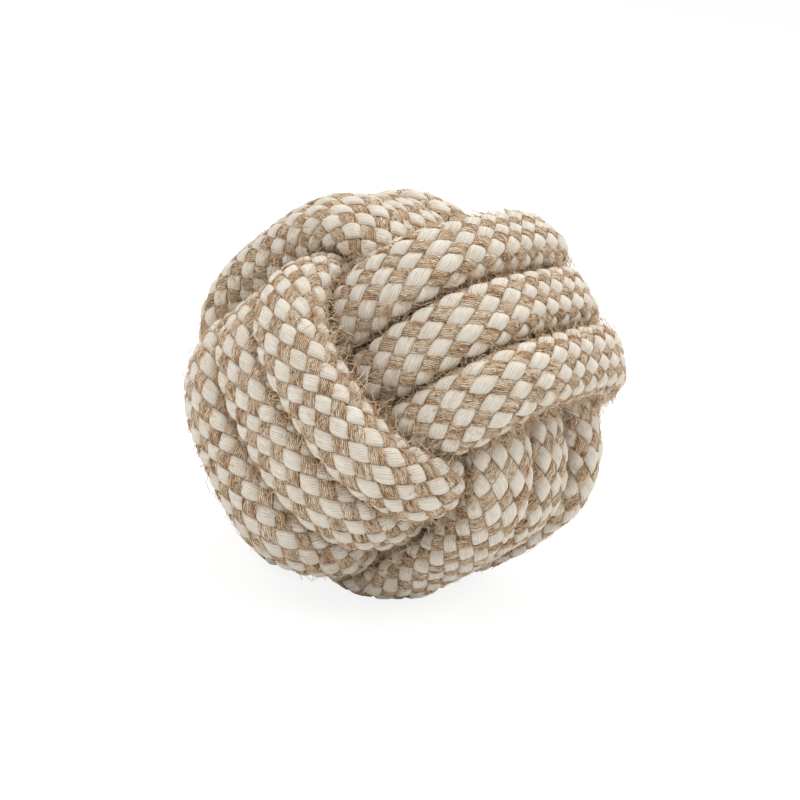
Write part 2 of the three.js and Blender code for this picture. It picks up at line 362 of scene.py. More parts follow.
def srgb(red: int, green: int, blue: int) -> tuple[float, float, float]:
    """Makes a colour as nodes take it.

    Args:
        red: From 0 to 255, as on a screen.
        green: The same.
        blue: The same.

    Returns:
        The linear values.
    """

    def linear(level: int) -> float:
        """One channel."""
        share = level / 255
        return share / 12.92 if share <= 0.04045 else ((share + 0.055) / 1.055) ** 2.4

    return linear(red), linear(green), linear(blue)


class ShaderGraph(Graph):
    """A material's nodes, which read the attributes that the pieces carry."""

    def __init__(self, name: str) -> None:
        """Makes a material with one Principled shader.

        Args:
            name: The material's name.
        """
        self.material = bpy.data.materials.new(name)
        self.material.use_nodes = True
        super().__init__(self.material.node_tree)
        self.shader = self.tree.nodes["Principled BSDF"]

    def read(self, *names: str) -> list[Term]:
        """Reads some of the piece's attributes."""
        return [self.term("ShaderNodeAttribute", "Fac", attribute_name=name) for name in names]

    def mix(self, factor: Value, low: Value, high: Value) -> Term:
        """Mixes two colours.

        Args:
            factor: Nought for low and one for high.
            low: A colour or a link.
            high: A colour or a link.

        Returns:
            The mixed colour.
        """
        pair = [(*colour, 1.0) if isinstance(colour, tuple) else colour for colour in (low, high)]
        sockets = {"Factor": factor, 6: pair[0], 7: pair[1]}
        return self.term("ShaderNodeMix", 2, sockets, data_type="RGBA", clamp_factor=True)

    def ramp(self, factor: Value, stops: list) -> Term:
        """A colour from a ramp.

        Args:
            factor: The place on it.
            stops: Its (place, colour) pairs.

        Returns:
            The colour.
        """
        node = self.node("ShaderNodeValToRGB", {0: factor})
        elements = node.color_ramp.elements
        while len(elements) < len(stops):
            elements.new(1.0)
        for element, (place, colour) in zip(elements, stops):
            element.position = place
            element.color = (*colour, 1.0)
        return Term(self, node.outputs["Color"])

    def finish(
        self, colour: Value, rough: Value, height: Value, depth: float
    ) -> bpy.types.Material:
        """Plugs the finish in.

        Args:
            colour: The base colour.
            rough: The roughness.
            height: Bump height from nought to one.
            depth: What a height of one stands for.

        Returns:
            The finished material.
        """
        sockets = {"Height": height, "Distance": depth, "Strength": 1.0}
        self.plug(self.shader.inputs["Base Color"], colour)
        self.plug(self.shader.inputs["Roughness"], rough)
        self.plug(self.shader.inputs["Normal"], self.term("ShaderNodeBump", 0, sockets))
        self.shader.inputs["Specular IOR Level"].default_value = CLOTH_GLOSS
        return self.material


@dataclass(frozen=True)
class CottonFinish:
    """Undyed cotton: fine yarns side by side, matt; painted shade darkens it a little between them
    and where it dives under.
    """

    name: str = "cotton_yarn"
    yarns: int = 8
    bright: tuple = srgb(231, 228, 218)
    plain: tuple = srgb(219, 212, 199)
    shade: tuple = srgb(184, 151, 113)
    twist_length: float = 1.3 * MM
    bump_depth: float = 0.16 * MM
    wander: float = 0.8
    wander_rate: float = 0.12 / MM
    gap_rate: float = 0.6 / MM
    yarn_rate: float = 0.05 / MM
    fibre_rate: float = 0.9 / MM
    worn_rate: float = 0.35 / MM
    gap_shade: float = 0.5
    worn_shade: float = 1.1
    edge_shade: float = 0.3

    def material(self) -> bpy.types.Material:
        """Makes the material.

        Returns:
            The material.
        """
        graph = ShaderGraph(self.name)
        across, run, strand, lift = graph.read("across", "run", "strand", "lift")
        wander = graph.noise((across * 1.3, run * self.wander_rate, strand * 7.3))
        yarn = (across + 1.0) * (self.yarns / 2) + (wander - 0.5) * self.wander
        past = yarn.fraction()
        gap = graph.noise(((yarn + 0.5).whole() * 1.7, run * self.gap_rate, strand * 3.3))
        gap = (gap * 2.2 - 0.45).at_least(0.15).at_most(1.0)
        between = abs(past * 2.0 - 1.0) ** 3.0 * gap
        each = graph.noise((yarn.whole() * 3.1, strand * 5.7, run * self.yarn_rate))
        fibre = graph.noise((yarn * 6.0, run * self.fibre_rate, strand * 2.9), 3.0, 0.6)
        twist = ((run * (2 * math.pi / self.twist_length)) + past * 5.0).sine()
        body = graph.mix((each - 0.3) * 1.6, self.plain, self.bright)
        body = graph.mix((fibre - 0.45) * 0.9, body, self.shade)
        worn = graph.noise((across * 1.2, run * self.worn_rate, strand * 6.1)) - 0.5
        worn = (worn * self.worn_shade).at_least(0.0) + abs(across) ** 6.0 * self.edge_shade
        body = graph.mix(worn.at_most(0.5), body, self.shade)
        # Painted shade: darker between the yarns, and where the strand dives under the crossing
        # strands.
        low = ((0.1 - lift) * 0.8).at_least(0.0)
        shaded = graph.mix((between * self.gap_shade + low).at_most(MOST_SHADE), body, self.shade)
        height = (1.0 - between) * 0.75 + twist * 0.07 + fibre * 0.16
        return graph.finish(shaded, 0.86 + fibre * 0.1, height, self.bump_depth)


@dataclass(frozen=True)
class JuteFinish:
    """Undyed jute: coarse crinkled threads, matt, from straw to brown; painted shade darkens it
    between them, in small holes and where it dives under.
    """

    name: str = "jute_fibre"
    pale: tuple = srgb(240, 222, 197)
    plain: tuple = srgb(214, 188, 157)
    dark: tuple = srgb(183, 148, 115)
    deep: tuple = srgb(128, 93, 63)
    threads: float = 10.0
    bump_depth: float = 0.45 * MM
    sway_rate: float = 0.9 / MM
    crinkle_rate: float = 2.6 / MM
    thread_rate: float = 0.45 / MM
    fine_rate: float = 1.9 / MM
    fleck_rate: float = 1.1 / MM
    patch_rate: float = 0.14 / MM
    thread_share: float = 1.5
    fine_share: float = 1.2
    patch_share: float = 1.7
    gap_share: float = 0.4
    middle: float = 0.73

    def material(self) -> bpy.types.Material:
        """Makes the material.

        Returns:
            The material.
        """
        graph = ShaderGraph(self.name)
        across, run, strand, lift = graph.read("across", "run", "strand", "lift")
        width = across * 1.5
        sway = graph.noise((width, run * self.sway_rate, strand * 4.1)) - 0.5
        crinkle = graph.noise((width * 2.2, run * self.crinkle_rate, strand * 5.3)) - 0.5
        lane = (across + 1.0) * (self.threads / 2) + sway * 2.2 + crinkle * 0.7
        between = abs(lane.fraction() * 2.0 - 1.0) ** 2.5
        each = graph.noise((lane.whole() * 3.7, run * self.thread_rate, strand * 6.3)) - 0.5
        fine = graph.noise((lane * 2.4, run * self.fine_rate, strand * 3.7), 3.0, 0.7)
        fleck = graph.noise((lane * 0.9, run * self.fleck_rate, strand * 8.9), 2.0, 0.6)
        patch = graph.noise((width * 0.7, run * self.patch_rate, strand * 2.3)) - 0.5
        tone = each * self.thread_share + (fine - 0.5) * self.fine_share
        # Painted shade: the tone is lowered between the threads.
        tone = tone + patch * self.patch_share - between * self.gap_share + self.middle
        stops = [(0.08, self.deep), (0.34, self.dark), (0.6, self.plain), (0.95, self.pale)]
        # Painted shade: dark in small holes among the fibres and where the strand dives under the
        # crossing strands.
        hole = ((0.45 - fleck) * 8.0).at_least(0.0).at_most(0.8)
        low = ((0.1 - lift) * 0.6).at_least(0.0)
        shaded = graph.mix((hole + low).at_most(MOST_SHADE), graph.ramp(tone, stops), self.deep)
        height = (1.0 - between) * 0.7 + fine * 0.4 + fleck * 0.5
        return graph.finish(shaded, 0.9 + fine * 0.08, height, self.bump_depth)


@dataclass(frozen=True)
class YarnFinish:
    """Plain yarn of one colour, with its twist: the plies inside the rope, the core and twine."""

    name: str
    pale: tuple
    dark: tuple
    twist_length: float = 2.4 * MM
    bump_depth: float = 0.15 * MM
    fibre_rate: float = 0.8 / MM

    def material(self) -> bpy.types.Material:
        """Makes the material.

        Returns:
            The material.
        """
        graph = ShaderGraph(self.name)
        across, run, strand = graph.read("across", "run", "strand")
        twist = (run * (2 * math.pi / self.twist_length) + across * 4.0).sine() * 0.5 + 0.5
        fibre = graph.noise((across * 5.0, run * self.fibre_rate, strand * 3.3), 3.0, 0.6)
        # Painted shade: darker in the twist's grooves between the plies, mixed with the fibres' own
        # random tone.
        body = graph.mix(twist * 0.4 + (fibre - 0.3) * 0.8, self.dark, self.pale)
        return graph.finish(body, 0.88 + fibre * 0.1, twist * 0.6 + fibre * 0.5, self.bump_depth)


@dataclass(frozen=True)
class FibreFinish:
    """Single jute fibres, from pale straw to brown."""

    name: str = "loose_jute_fibre"
    pale: tuple = srgb(238, 217, 186)
    plain: tuple = srgb(208, 174, 136)
    dark: tuple = srgb(150, 109, 73)
    bump_depth: float = 0.02 * MM

    def material(self) -> bpy.types.Material:
        """Makes the material.

        Returns:
            The material.
        """
        graph = ShaderGraph(self.name)
        each, run = graph.read("strand", "run")
        stops = [(0.0, self.dark), (0.3, self.plain), (1.0, self.pale)]
        body = graph.ramp(each * 0.85 + run * 0.15, stops)
        fibre = graph.noise((run * 9.0, each * 31.0))
        return graph.finish(body, 0.8 + fibre * 0.15, fibre, self.bump_depth)


@dataclass(frozen=True)
class Rope:
    """The rope's sizes."""

    diameter: float = 13.2 * MM
    cover_wall: float = 2.1 * MM
    strands_each_way: int = 10
    lead: float = 47.0 * MM
    loosening: float = 1.085
    least_swell: float = 0.8
    most_swell: float = 1.28
    outer_share: float = 0.98
    turn_clearance: float = 0.1 * MM
    wrapped_radius: float = 3.9 * MM
    wrap_length: float = 6.0 * MM
    wrap_setback: float = 1.2 * MM
    end_spacing: float = 2.6 * MM

    @property
    def guide_radius(self) -> float:
        """From the rope's axis to the middle of its cover, where nothing presses on it."""
        return (self.diameter - self.cover_wall) / 2

    @property
    def guide_girth(self) -> float:
        """Round the middle of the cover."""
        return 2 * math.pi * self.guide_radius

    @property
    def lean(self) -> float:
        """The strands' angle to the rope's axis."""
        return math.atan2(self.guide_girth, self.lead)

    @property
    def skew(self) -> float:
        """How fast the weave's phase moves across a strand, as crossings aren't square."""
        slant = math.cos(self.lean) / self.guide_girth - math.sin(self.lean) / self.lead
        return math.pi * self.strands_each_way * slant


@dataclass(frozen=True)
class Lie:
    """How the turns lie on one outer side of a winding, as hands tied them, in shares."""

    spread: float = 0.0
    fan: float = 0.0
    slide: float = 0.0
    stand: float = 0.0

    def mixed(self, other: Lie, share: float) -> Lie:
        """How they lie at a share of the way from this side to the other."""
        pairs = ((getattr(self, way.name), getattr(other, way.name)) for way in fields(self))
        return Lie(*(mine + (theirs - mine) * share for mine, theirs in pairs))


@dataclass(frozen=True)
class Winding:
    """A winding: the knot's axes that it goes out along, in along and across, and its sides."""

    name: str
    axes: tuple[int, int, int]
    near: Lie
    far: Lie


WINDINGS = (
    Winding("first", (0, 2, 1), Lie(0.05, 0.15, -0.04, 0.07), Lie()),
    Winding("second", (2, 1, 0), Lie(0.0, 0.15, -0.23, 0.03), Lie(0.1, -0.09, 0.09, -0.05)),
    Winding("third", (1, 0, 2), Lie(0.17, -0.02, 0.01, 0.04), Lie()),
)


@dataclass(frozen=True)
class Knot:
    """The rope's route: three windings of squared turns, in shares of the turns' spacing."""

    lanes: tuple = (13.1 * MM, 12.4 * MM, 11.8 * MM)
    turns: int = 3
    steps_per_turn: int = 24
    turn_exponent: float = 3.4
    bend_crowd_share: float = 0.45
    first_angle: float = 120.0
    last_angle: float = 50.0
    shift_angle: float = 56.0
    leave_shares: tuple = (1.7, 1.95, 1.0)
    enter_shares: tuple = (-0.3, 1.26, 1.1)
    bend_shares: tuple = ((0.85, 1.13, -0.95), (-0.15, 1.3, -1.05))
    rest_tilt: float = 45.0
    rest_turn: float = -122.0

    def rest_matrix(self) -> np.ndarray:
        """Turns the knot's own axes into those of the ball at rest."""
        tilt = Euler((math.radians(self.rest_tilt), 0, math.radians(self.rest_turn)), "XYZ")
        return np.array(tilt.to_matrix())

    def turn_place(self, winding: Winding, angle: float) -> np.ndarray:
        """Works out a place on a winding's turns, in lanes.

        Args:
            winding: The winding.
            angle: The angle in degrees.

        Returns:
            The place.
        """
        cos, sin = math.cos(math.radians(angle)), math.sin(math.radians(angle))
        power = self.turn_exponent
        reach = (abs(cos) ** power + abs(sin) ** power) ** (-1 / power)
        turn = math.floor((angle - 90) / 360 + 0.5)
        past = angle - 90 - turn * 360
        share = min(max(past / self.shift_angle + 0.5, 0.0), 1.0)
        half = self.turns / 2
        lane = turn + eased(share) - 0.5 - half
        lie = winding.near.mixed(winding.far, (1 + reach * cos) / 2)
        out = (half + 1.5) * reach * cos * (1 + lie.stand)
        across = lane * (1 + lie.spread + lie.fan * reach * sin) + lie.slide
        return np.array([out, (half + 0.5) * reach * sin, across])

    def winding_places(self, winding: Winding) -> list[np.ndarray]:
        """A winding's places in its own lanes, from one crossing inside the ball to the next.

        Args:
            winding: The winding.

        Returns:
            The places.
        """
        leave, enter = np.array(self.leave_shares), np.array(self.enter_shares)
        joint = (leave + enter) / 2
        start = [np.roll(place, -1) for place in (joint, (joint + enter) / 2, enter)]
        low = math.radians(self.first_angle)
        high = math.radians(self.last_angle + 360 * self.turns)
        steps = round((high - low) / (2 * math.pi) * self.steps_per_turn)
        turns = []
        for step in range(steps + 1):
            even = low + (high - low) * step / steps
            crowded = even + self.bend_crowd_share * math.sin(4 * even) / 4
            turns.append(self.turn_place(winding, math.degrees(crowded)))
        bends = [np.array(place) for place in self.bend_shares]
        return [*start, *bends, *turns, leave, (leave + joint) / 2, joint]

    def route_points(self) -> tuple[np.ndarray, list[int]]:
        """The whole rope's points about the knot's middle.

        Returns:
            The points, and the number of the point at which each winding begins or the last ends.
        """
        turn = self.rest_matrix()
        points: list[np.ndarray] = []
        begins = []
        for winding in WINDINGS:
            begins.append(max(len(points) - 1, 0))
            for place in self.winding_places(winding)[1 if points else 0 :]:
                point = np.zeros(3)
                for share, axis in zip(place, winding.axes):
                    point[axis] = -share * self.lanes[axis]
                points.append(turn @ point)
        return np.array(points), [*begins, len(points) - 1]


def smooth_line(points: np.ndarray, per_span: int) -> np.ndarray:
    """A centripetal Catmull-Rom line through points.

    Args:
        points: What it passes through.
        per_span: How many steps it takes between two of them.

    Returns:
        The line's points.
    """
    padded = np.vstack([2 * points[0] - points[1], points, 2 * points[-1] - points[-2]])
    shares = np.arange(per_span)[:, None] / per_span
    spans = []
    for a, b, c, d in zip(padded, padded[1:], padded[2:], padded[3:]):
        chords = (b - a, c - b, d - c)
        before, here, after = (math.sqrt(np.linalg.norm(chord)) for chord in chords)
        leave = ((b - a) / before - (c - a) / (before + here) + (c - b) / here) * here
        arrive = ((c - b) / here - (d - b) / (here + after) + (d - c) / after) * here
        cubic = 2 * b - 2 * c + leave + arrive
        square = 3 * (c - b) - 2 * leave - arrive
        spans.append(b + shares * leave + shares**2 * square + shares**3 * cubic)
    return np.vstack([*spans, points[-1:]])


def line_lengths(line: np.ndarray) -> np.ndarray:
    """How far along a line each of its points is."""
    return np.concatenate([[0.0], np.cumsum(np.linalg.norm(np.diff(line, axis=0), axis=1))])


def at_lengths(line: np.ndarray, lengths: np.ndarray, wanted: np.ndarray) -> np.ndarray:
    """The places on a line at the wanted lengths along it."""
    return np.stack([np.interp(wanted, lengths, line[:, axis]) for axis in range(3)], axis=1)


def unit(vectors: np.ndarray) -> np.ndarray:
    """The same directions with a length of one."""
    return vectors / np.linalg.norm(vectors, axis=-1, keepdims=True)


@dataclass
class Guide:
    """The surface midway through the rope's cover, which the strands weave about.

    Its section is round where the rope is free, flat where turns press on each other, and
    keeps its girth, so that a pressed rope swells where there is room.
    """

    rope: Rope
    knot: Knot
    centre: np.ndarray
    ring_step: float = 1.4 * MM
    directions: int = 48
    sample_step: float = 2.0 * MM
    own_length: float = 20.0 * MM
    neighbour_reach: float = 27.0 * MM
    facing_share: float = 0.12
    core_radius: float = 13.4 * MM
    above_floor: float = 0.4 * MM
    corner_power: float = 14.0
    even_out: int = 3
    halvings: int = 18
    points_per_span: int = 12
    helix_steps: int = 24
    places: np.ndarray = field(init=False)
    normals: np.ndarray = field(init=False)
    begins: list[int] = field(init=False)
    lengths: np.ndarray = field(init=False)
    line: np.ndarray = field(init=False)
    crosswise: tuple[np.ndarray, np.ndarray] = field(init=False)

    def __post_init__(self) -> None:
        """Works out the rope's line and its pressed sections."""
        points, joins = self.knot.route_points()
        fine = smooth_line(points, self.points_per_span)
        fine_lengths = line_lengths(fine)
        marks = fine_lengths[np.array(joins) * self.points_per_span]
        marks[0] += self.rope.end_spacing / 2
        marks[-1] -= self.rope.end_spacing / 2
        counts = [max(round((b - a) / self.ring_step), 2) for a, b in zip(marks, marks[1:])]
        spans = zip(marks, marks[1:], counts)
        spans = [np.linspace(begin, end, count, endpoint=False) for begin, end, count in spans]
        wanted = np.concatenate([*spans, marks[-1:]])
        self.begins = [0, *np.cumsum(counts)]
        self.line = at_lengths(fine, fine_lengths, wanted)
        self.lengths = wanted
        tangents = unit(np.gradient(self.line, wanted, axis=0))
        normals, sides = self._untwisted(tangents)
        self.crosswise = normals, sides
        angles = (2 * np.pi * np.arange(self.directions) / self.directions)[:, None]
        spokes = normals[:, None] * np.cos(angles) + sides[:, None] * np.sin(angles)
        samples = np.arange(0, fine_lengths[-1], self.sample_step)
        reach = self._sections(spokes, at_lengths(fine, fine_lengths, samples), samples)
        self._lay_out(spokes, reach)

    @staticmethod
    def _untwisted(tangents: np.ndarray) -> tuple[np.ndarray, np.ndarray]:
        """Directions across the line that turn no more than the line does.

        Args:
            tangents: The line's directions.

        Returns:
            Two directions across it at each point, square to each other.
        """
        normal = np.cross(tangents[0], np.array([0.3, 0.5, 0.8]))
        normals = []
        for tangent in tangents:
            normal = normal - tangent * (normal @ tangent)
            normal = normal / np.linalg.norm(normal)
            normals.append(normal)
        normals = np.array(normals)
        return normals, np.cross(tangents, normals)

    def _sections(
        self, spokes: np.ndarray, samples: np.ndarray, sample_lengths: np.ndarray
    ) -> np.ndarray:
        """How far the rope's skin is from its line.

        Args:
            spokes: Directions across the line, for each ring.
            samples: Points all along the rope's line.
            sample_lengths: How far along it they are.

        Returns:
            The reach along each spoke.
        """
        room = np.full(spokes.shape[:2], np.inf)
        radius = self.rope.diameter / 2
        for ring, (point, length) in enumerate(zip(self.line, self.lengths)):
            to = samples - point
            distance = np.linalg.norm(to, axis=1)
            another_turn = abs(sample_lengths - length) > self.own_length
            near = (distance < self.neighbour_reach) & another_turn
            own, clear = spokes[ring], self.rope.turn_clearance
            core = np.array([np.linalg.norm(point)])
            limits = [
                self._room(own, to[near], distance[near], clear, 0.5),
                self._room(own, -point[None], core, self.core_radius, 1.0),
                self._down_to_floor(own, point[2] + self.centre[2] - self.above_floor),
                self._room(own, unit(point)[None], np.ones(1), 0.0, self.rope.outer_share * radius),
            ]
            room[ring] = np.minimum.reduce(limits)
        low = np.full((len(room), 1), self.rope.least_swell * radius)
        high = np.full((len(room), 1), self.rope.most_swell * radius)
        for _ in range(self.halvings):
            cap = (low + high) / 2
            reach = self._rounded(cap, room)
            skin = spokes * reach[..., None]
            girth = np.linalg.norm(skin - np.roll(skin, -1, axis=1), axis=2).sum(1, keepdims=True)
            wide = girth > 2 * np.pi * radius * self.rope.loosening
            high, low = np.where(wide, cap, high), np.where(wide, low, cap)
        reach = self._rounded((low + high) / 2, room)
        for _ in range(self.even_out):
            reach[1:-1] = (reach[:-2] + 2 * reach[1:-1] + reach[2:]) / 4
        return self._drawn_in(reach)

    def _room(
        self, spokes: np.ndarray, to: np.ndarray, distance: np.ndarray, kept: float, share: float
    ) -> np.ndarray:
        """How far each spoke may go before it meets what lies at points.

        Args:
            spokes: Directions.
            to: From the ring's middle to the points.
            distance: Their distances.
            kept: The length that is kept clear on the way to a point.
            share: The share of the rest that this side may take.

        Returns:
            The room along each spoke.
        """
        facing = spokes @ to.T
        open_to = facing > self.facing_share * distance
        with np.errstate(divide="ignore", invalid="ignore"):
            room = np.where(open_to, (distance - kept) * share * distance / facing, np.inf)
        return room.min(axis=1, initial=np.inf)

    def _down_to_floor(self, spokes: np.ndarray, height: float) -> np.ndarray:
        """How far each spoke may go before it meets the floor.

        Args:
            spokes: Directions.
            height: The ring's middle above the floor.

        Returns:
            The room along each spoke.
        """
        down = -spokes[:, 2]
        with np.errstate(divide="ignore"):
            return np.where(down > self.facing_share, height / down, np.inf)

    def _rounded(self, cap: np.ndarray, room: np.ndarray) -> np.ndarray:
        """The lesser of two reaches, with the corner between them rounded off."""
        power = self.corner_power
        return (cap**-power + room**-power) ** (-1 / power)

    def _drawn_in(self, reach: np.ndarray) -> np.ndarray:
        """Draws the rope's two ends in to what their wraps leave.

        Args:
            reach: The reach along each spoke.

        Returns:
            The same, less near the ends.
        """
        rope = self.rope
        before, after = self.lengths - self.lengths[0], self.lengths[-1] - self.lengths
        from_end = np.minimum(before, after)[:, None]
        wrapped = rope.wrap_setback + rope.wrap_length
        share = eased(np.clip((from_end - wrapped) / (2 * rope.wrap_length), 0, 1))
        most = rope.wrapped_radius + (rope.diameter - rope.wrapped_radius) * share
        return np.minimum(reach, most)

    def _lay_out(self, spokes: np.ndarray, reach: np.ndarray) -> None:
        """Sets the surface's points at even steps round each ring, and works out its normals.

        Args:
            spokes: Directions across the line, for each ring.
            reach: The reach along each.
        """
        skin = spokes * (reach - self.rope.cover_wall / 2)[..., None]
        closed = np.concatenate([skin, skin[:, :1]], axis=1)
        even = []
        for ring in closed:
            lengths = line_lengths(ring)
            wanted = np.linspace(0, lengths[-1], self.directions + 1)
            even.append(at_lengths(ring, lengths, wanted))
        self.places = self.line[:, None] + np.array(even)
        along = np.gradient(self.places, axis=0)
        ring = self.places[:, :-1]
        around = (np.roll(ring, -1, axis=1) - np.roll(ring, 1, axis=1)) / 2
        normals = unit(np.cross(around, along[:, :-1]))
        self.normals = np.concatenate([normals, normals[:, :1]], axis=1)

    def mesh(self, winding: int) -> bpy.types.Mesh:
        """The guide of one winding, with what the strands read from it.

        Args:
            winding: Its number, from nought.

        Returns:
            A mesh with the attributes rope_map and outward.
        """
        begin, end = self.begins[winding], self.begins[winding + 1] + 1
        places, normals = self.places[begin:end] + self.centre, self.normals[begin:end]
        rings, columns = places.shape[:2]
        first = (np.arange(rings - 1)[:, None] * columns + np.arange(columns - 1)).ravel()
        faces = np.stack([first, first + 1, first + columns + 1, first + columns], axis=1)
        mesh = bpy.data.meshes.new("guide")
        mesh.from_pydata(places.reshape(-1, 3).tolist(), [], faces.tolist())
        rope_map = np.zeros((rings, columns, 3))
        rope_map[..., 0] = (np.arange(rings) / (rings - 1))[:, None]
        rope_map[..., 1] = np.arange(columns) / (columns - 1)
        for name, values in (("rope_map", rope_map), ("outward", normals)):
            attribute = mesh.attributes.new(name, "FLOAT_VECTOR", "POINT")
            attribute.data.foreach_set("vector", values.astype(np.float32).ravel())
        return mesh

    def helix(self, start: float, end: float, radius: float, pitch: float) -> np.ndarray:
        """A line that winds round the rope.

        Args:
            start: The length along the rope at which it starts.
            end: The length at which it ends.
            radius: Its distance from the rope's line.
            pitch: How far it goes along the rope in one turn.

        Returns:
            The line's points.
        """
        steps = round(abs(end - start) / pitch * self.helix_steps)
        wanted = np.linspace(start, end, steps + 1)
        angles = (wanted - start)[:, None] * (2 * math.pi / pitch)
        normals, sides = (at_lengths(way, self.lengths, wanted) for way in self.crosswise)
        middle = at_lengths(self.line, self.lengths, wanted) + self.centre
        return middle + radius * (normals * np.cos(angles) + sides * np.sin(angles))

    def span(self, winding: int) -> tuple[float, float]:
        """Where a winding starts along the rope, and its length."""
        start, end = (self.lengths[self.begins[winding + step]] for step in (0, 1))
        return float(start), float(end - start)


@dataclass(frozen=True)
class StrandFamily:
    """One kind of strand: its way round the rope, its form and its material slot."""

    label: str
    slot: str
    way: Way
    over: float
    width_share: float
    thickness: float
    depth: float
    squareness: float
    rise: float = 0.0
    ridge: float = 0.0
    pinch: float = 0.0
    lump: float = 0.1 * MM
    steps_per_wave: int = 8
    top_points: int = 9
    under_points: int = 2
    puff: float = 0.08
    jitter: float = 0.3
    hidden_steps: int = 3
    per_piece: int = 5


NOT_TREE_SIZES = ("label", "slot", "way", "width_share", "steps_per_wave", "per_piece")
COTTON = StrandFamily(
    label="cotton",
    slot="cotton_strand",
    way=Way.LEFT,
    over=1.0,
    width_share=1.03,
    thickness=1.1 * MM,
    depth=-0.02 * MM,
    squareness=3.4,
    rise=0.5 * MM,
    pinch=0.06,
)
JUTE = StrandFamily(
    label="jute",
    slot="jute_strand",
    way=Way.RIGHT,
    over=-1.0,
    width_share=1.07,
    thickness=1.0 * MM,
    depth=0.04 * MM,
    squareness=3.2,
    rise=0.42 * MM,
    ridge=0.12,
    lump=0.35 * MM,
    steps_per_wave=6,
)
PLIES = StrandFamily(
    label="plies",
    slot="filler_yarn",
    way=Way.RIGHT,
    over=0.0,
    width_share=0.94,
    thickness=2.6 * MM,
    depth=2.9 * MM,
    squareness=2.0,
    top_points=7,
    under_points=3,
    puff=0.0,
    jitter=0.0,
    hidden_steps=1,
    per_piece=3,
)


